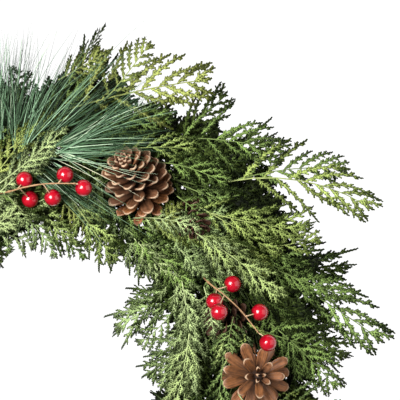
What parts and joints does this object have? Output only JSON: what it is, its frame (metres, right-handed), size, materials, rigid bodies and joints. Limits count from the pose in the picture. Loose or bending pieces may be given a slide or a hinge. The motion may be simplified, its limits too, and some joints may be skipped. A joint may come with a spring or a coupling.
{
  "type": "evergreen wreath",
  "caption": "Round evergreen wreath of layered cedar sprays and long-needled pine on a wire ring, trimmed with pine cones and sprigs of glossy red berries.",
  "frame": {"origin": "middle of the box round the whole wreath, on the surface it lies on", "axes": "+Z out of the wreath's face (up, as it lies on its back), +Y towards its top as it is hung, +X to the right seen from the face"},
  "size_m": [0.508, 0.4838, 0.1236],
  "materials": {
    "cedar": "matt to satin green scale leaves",
    "back_cedar": "matt dark green scale leaves",
    "pine_needles": "satin blue-green needles",
    "cone_scales": "dry brown scales with pale rims",
    "red_berries": "glossy red berries on matt tan twigs",
    "frame_enamel": "green enamel on steel wire",
    "dark_wire": "brown coated florist's wire"
  },
  "bodies": {
    "root": {"ring_frame": "frame_enamel", "hanging_loop": "frame_enamel", "ring_clamp_01": "frame_enamel", "ring_clamp_02": "frame_enamel", "ring_clamp_03": "frame_enamel", "ring_clamp_04": "frame_enamel", "ring_clamp_05": "frame_enamel", "ring_clamp_06": "frame_enamel", "ring_clamp_07": "frame_enamel", "ring_clamp_08": "frame_enamel", "ring_clamp_09": "frame_enamel", "ring_clamp_10": "frame_enamel", "cedar_bunch_01": "cedar", "cedar_bunch_02": "cedar", "cedar_bunch_03": "cedar", "cedar_bunch_04": "cedar", "cedar_bunch_05": "cedar", "cedar_bunch_06": "cedar", "cedar_bunch_07": "cedar", "cedar_bunch_08": "cedar", "cedar_bunch_09": "cedar", "cedar_bunch_10": "cedar", "back_spray_01": "back_cedar", "back_spray_02": "back_cedar", "back_spray_03": "back_cedar", "back_spray_04": "back_cedar", "back_spray_05": "back_cedar", "back_spray_06": "back_cedar", "back_spray_07": "back_cedar", "back_spray_08": "back_cedar", "back_spray_09": "back_cedar", "back_spray_10": "back_cedar", "pine_sprig_1": "pine_needles", "pine_sprig_2": "pine_needles", "pine_sprig_3": "pine_needles", "pine_cone_1": "cone_scales", "pine_cone_2": "cone_scales", "pine_cone_3": "cone_scales", "pine_cone_4": "cone_scales", "pine_cone_5": "cone_scales", "pine_cone_6": "cone_scales", "pine_cone_7": "cone_scales", "pine_cone_8": "cone_scales", "cone_wire_1": "dark_wire", "cone_wire_2": "dark_wire", "cone_wire_3": "dark_wire", "cone_wire_4": "dark_wire", "cone_wire_5": "dark_wire", "cone_wire_6": "dark_wire", "cone_wire_7": "dark_wire", "cone_wire_8": "dark_wire", "berry_sprig_1": "red_berries", "berry_sprig_2": "red_berries", "berry_sprig_3": "red_berries", "berry_sprig_4": "red_berries", "berry_sprig_5": "red_berries"}
  },
  "joints": []
}
